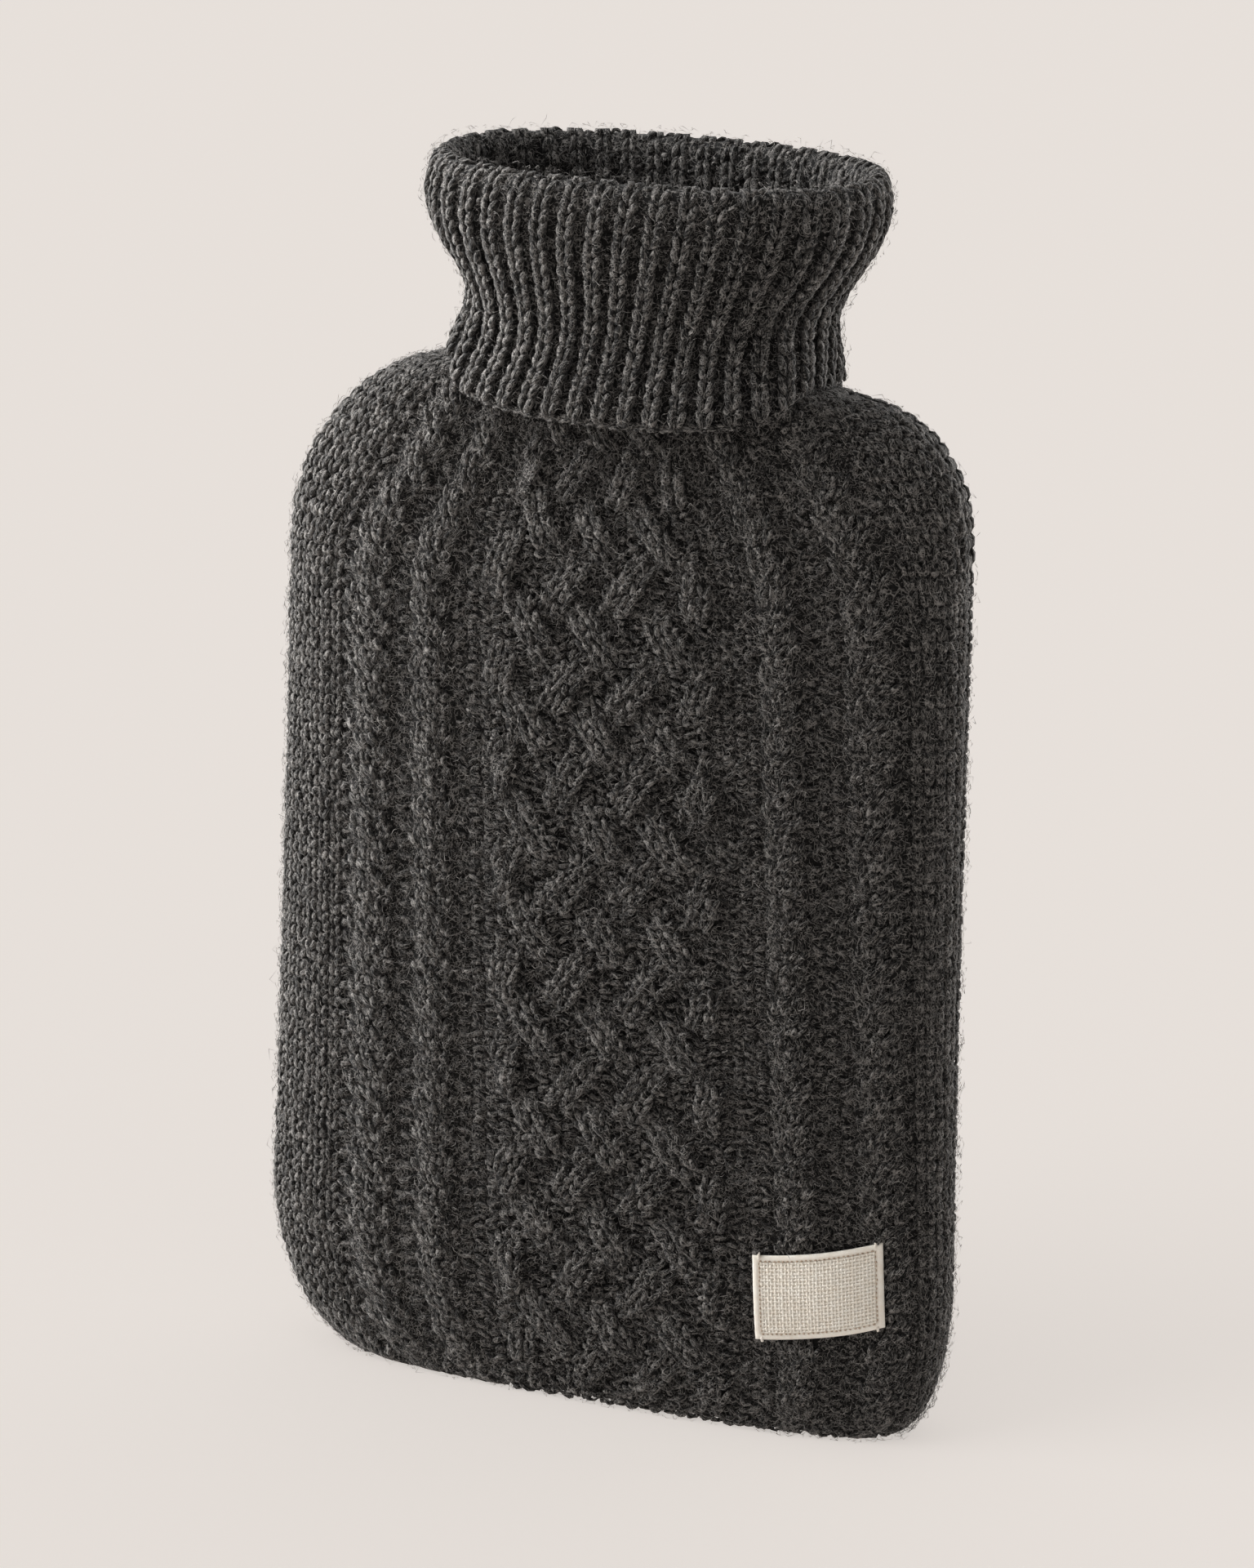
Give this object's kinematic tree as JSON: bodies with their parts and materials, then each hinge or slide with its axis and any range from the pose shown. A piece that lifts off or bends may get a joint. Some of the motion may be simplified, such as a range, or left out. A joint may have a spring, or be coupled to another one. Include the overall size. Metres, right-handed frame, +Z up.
{
  "type": "hot water bottle cover",
  "caption": "Cable-knit wool cover for a hot water bottle, with a folded ribbed collar and a bare linen label, standing upright and open at the neck.",
  "frame": {"origin": "on the floor, under the middle of the bounding box", "axes": "+Z up through the neck, the cabled front faces -Y, +X to the right of someone who looks at the front"},
  "size_m": [0.2112, 0.0836, 0.3605],
  "materials": {
    "wool_front": "cable-knit charcoal marl wool",
    "wool_back": "plain-knit charcoal marl wool",
    "wool_rib": "rib-knit charcoal marl wool",
    "linen": "plain-woven natural linen"
  },
  "bodies": {
    "root": {"front_panel": "wool_front", "back_panel": "wool_back", "collar": "wool_rib", "label": "linen"}
  },
  "joints": []
}
